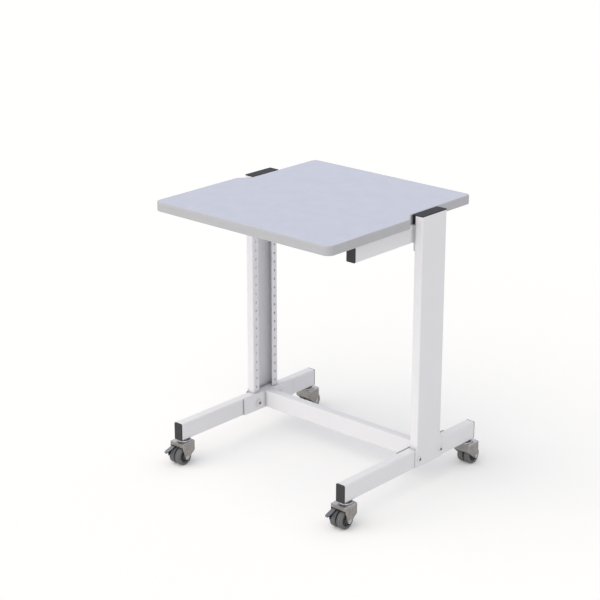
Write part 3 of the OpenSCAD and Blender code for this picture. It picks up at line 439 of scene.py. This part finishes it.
# %% [markdown]
# ## Caster forks
#
# The forks are stamped from thick sheet and tumbled before plating, which leaves them
# satin and a little warm, with streaks down the legs where the press drew the metal. The
# level faces are painted lighter and cooler, as painted light from above. Tumbling rubs
# the edges bright, and these lighter edges are painted highlights too. The Bevel node
# gives the normal of a rounded edge, and where it differs from the true normal there is
# an edge, so the mask needs no image and fits any shape.

# %% Tumbled stampings
patch_size = 9  # mm
streak_width = 1.5
streak_length = 16
dent_size = 1.4
edge_radius = 0.0012  # m

stamped, tree, place = new_finish("tumbled_stamped_steel")
patch = add_node(tree, "TexNoise", {"Vector": place, "Scale": per_mm(patch_size), "Detail": 4.0,
                                    "Roughness": 0.6})
stretch = add_node(tree, "Mapping", {
    "Vector": place, "Scale": (per_mm(streak_width), per_mm(streak_width), per_mm(streak_length))})
drawn = add_node(tree, "TexNoise", {"Vector": stretch.outputs["Vector"], "Scale": 1.0, "Detail": 3.0})
tone = add_node(tree, "Math", {0: patch.outputs["Fac"], 1: drawn.outputs["Fac"]}, operation="ADD")
spread = add_node(tree, "MapRange", {"Value": tone.outputs[0], "From Min": 0.6, "From Max": 1.4})
ground = add_node(tree, "Mix", {"A": linear("#817D79"), "B": linear("#A8A5A2"),
                                "Factor": spread.outputs["Result"]}, data_type="RGBA")
# Painted light: the level faces get this lighter, cooler pair of colours.
painted_top_light = add_node(tree, "Mix", {"A": linear("#ABACB3"), "B": linear("#C4C5CD"),
                                   "Factor": spread.outputs["Result"]}, data_type="RGBA")
true_normal = add_node(tree, "NewGeometry").outputs["Normal"]
facing = add_node(tree, "SeparateXYZ", {0: true_normal})
level = add_node(tree, "MapRange", {"Value": facing.outputs["Z"], "From Min": 0.7, "From Max": 0.95})
sheet = add_node(tree, "Mix", {"A": socket(ground.outputs, "Result"),
                               "B": socket(painted_top_light.outputs, "Result"),
                               "Factor": level.outputs["Result"]}, data_type="RGBA")
rounded = add_node(tree, "Bevel", {"Radius": edge_radius}, samples=6)
turned = add_node(tree, "VectorMath", {0: true_normal, 1: rounded.outputs["Normal"]},
                  operation="DOT_PRODUCT")
edge = add_node(tree, "MapRange", {"Value": turned.outputs["Value"], "From Min": 0.99, "From Max": 0.8})
# D2D1D1 on the edges is tumbling wear and a painted highlight both.
colour = add_node(tree, "Mix", {"A": socket(sheet.outputs, "Result"), "B": linear("#D2D1D1"),
                                "Factor": edge.outputs["Result"]}, data_type="RGBA")
dent = add_node(tree, "TexVoronoi", {"Vector": place, "Scale": per_mm(dent_size)}, feature="SMOOTH_F1")
relief = add_node(tree, "Bump", {"Height": dent.outputs["Distance"], "Strength": 0.15, "Distance": 0.0001})
gloss = add_node(tree, "MapRange", {"Value": spread.outputs["Result"], "To Min": 0.32, "To Max": 0.5})
shader = add_node(tree, "BsdfPrincipled", {"Base Color": socket(colour.outputs, "Result"), "Metallic": 1.0,
                                           "Roughness": gloss.outputs["Result"],
                                           "Normal": relief.outputs["Normal"]})
add_node(tree, "OutputMaterial", {"Surface": shader.outputs[0]})
give(stamped, *["fork_" + where for where in places])

# %% [markdown]
# ## Brake levers
#
# The brake levers' sides and underside are painted dark grey as shade, and their tread is
# lighter, in streaks that run along the lever. The normal's height tells the tread from
# the sides and the underside. A mask painted by hand would need a second image for each
# lever.

# %% Brake levers with painted side shade
streak_size = (0.8, 9, 2)  # mm, in X, Y and Z: longest in Y, along the lever

lever_steel, tree, place = new_finish("lever_steel_with_painted_side_shade")
stretch = add_node(tree, "Mapping", {"Vector": place, "Scale": [per_mm(size) for size in streak_size]})
streaks = add_node(tree, "TexNoise", {"Vector": stretch.outputs["Vector"], "Scale": 1.0, "Detail": 3.0})
bright = add_node(tree, "Mix", {"A": linear("#787B81"), "B": linear("#93969C"),
                                "Factor": streaks.outputs["Fac"]}, data_type="RGBA")
facing = add_node(tree, "SeparateXYZ", {0: add_node(tree, "NewGeometry").outputs["Normal"]})
# Painted shade: faces that don't look up get the dark grey #3B3C3F.
painted_side_shade_mask = add_node(tree, "MapRange", {"Value": facing.outputs["Z"], "From Min": 0.25, "From Max": 0.7})
colour = add_node(tree, "Mix", {"A": linear("#3B3C3F"), "B": socket(bright.outputs, "Result"),
                                "Factor": painted_side_shade_mask.outputs["Result"]}, data_type="RGBA")
gloss = add_node(tree, "MapRange", {"Value": streaks.outputs["Fac"], "To Min": 0.3, "To Max": 0.48})
relief = add_node(tree, "Bump", {"Height": streaks.outputs["Fac"], "Strength": 0.1, "Distance": 0.0001})
shader = add_node(tree, "BsdfPrincipled", {"Base Color": socket(colour.outputs, "Result"), "Metallic": 1.0,
                                           "Roughness": gloss.outputs["Result"],
                                           "Normal": relief.outputs["Normal"]})
add_node(tree, "OutputMaterial", {"Surface": shader.outputs[0]})
give(lever_steel, "brake_lever_left", "brake_lever_right")

# %% [markdown]
# ## Tyres
#
# The tyres are grey thermoplastic rubber, cast round the hub. Rubber is dull, and a rolled
# tread picks up a paler film of dust, in patches of some millimetres. The pores are finer
# than the render shows, so they are drawn coarser and only break up the highlight. An
# image of dust would have a seam somewhere round the tread, and a noise has none.

# %% Thermoplastic rubber
dust_size = 6  # mm
pore_size = 0.6

rubber, tree, place = new_finish("grey_thermoplastic_rubber")
dust = add_node(tree, "TexNoise", {"Vector": place, "Scale": per_mm(dust_size), "Detail": 4.0,
                                   "Roughness": 0.65})
pores = add_node(tree, "TexNoise", {"Vector": place, "Scale": per_mm(pore_size), "Detail": 2.0})
colour = add_node(tree, "Mix", {"A": linear("#5F5F5F"), "B": linear("#737373"),
                                "Factor": dust.outputs["Fac"]}, data_type="RGBA")
relief = add_node(tree, "Bump", {"Height": pores.outputs["Fac"], "Strength": 0.2, "Distance": 0.0002})
gloss = add_node(tree, "MapRange", {"Value": dust.outputs["Fac"], "To Min": 0.55, "To Max": 0.75})
shader = add_node(tree, "BsdfPrincipled", {"Base Color": socket(colour.outputs, "Result"),
                                           "Roughness": gloss.outputs["Result"],
                                           "Normal": relief.outputs["Normal"], "IOR": 1.5})
add_node(tree, "OutputMaterial", {"Surface": shader.outputs[0]})
give(rubber, *[f"tyre_{where}_{wheel}" for where in places for wheel in "ab"])

# %% [markdown]
# ## Hubs
#
# The hubs are moulded from glass-filled nylon, darker than the tyres and a little smoother.
# The glass fibres follow the flow in the mould and leave faint swirls, so the noise is
# distorted by itself. An even grey would look painted.

# %% Glass-filled nylon
swirl_size = 5  # mm

nylon, tree, place = new_finish("dark_glass_filled_nylon")
flow = add_node(tree, "TexNoise", {"Vector": place, "Scale": per_mm(swirl_size), "Detail": 3.0,
                                   "Distortion": 0.6})
colour = add_node(tree, "Mix", {"A": linear("#505254"), "B": linear("#636567"),
                                "Factor": flow.outputs["Fac"]}, data_type="RGBA")
relief = add_node(tree, "Bump", {"Height": flow.outputs["Fac"], "Strength": 0.1, "Distance": 0.0002})
gloss = add_node(tree, "MapRange", {"Value": flow.outputs["Fac"], "To Min": 0.4, "To Max": 0.55})
shader = add_node(tree, "BsdfPrincipled", {"Base Color": socket(colour.outputs, "Result"),
                                           "Roughness": gloss.outputs["Result"],
                                           "Normal": relief.outputs["Normal"], "IOR": 1.53})
add_node(tree, "OutputMaterial", {"Surface": shader.outputs[0]})
give(nylon, *[f"hub_{where}_{wheel}" for where in places for wheel in "ab"])
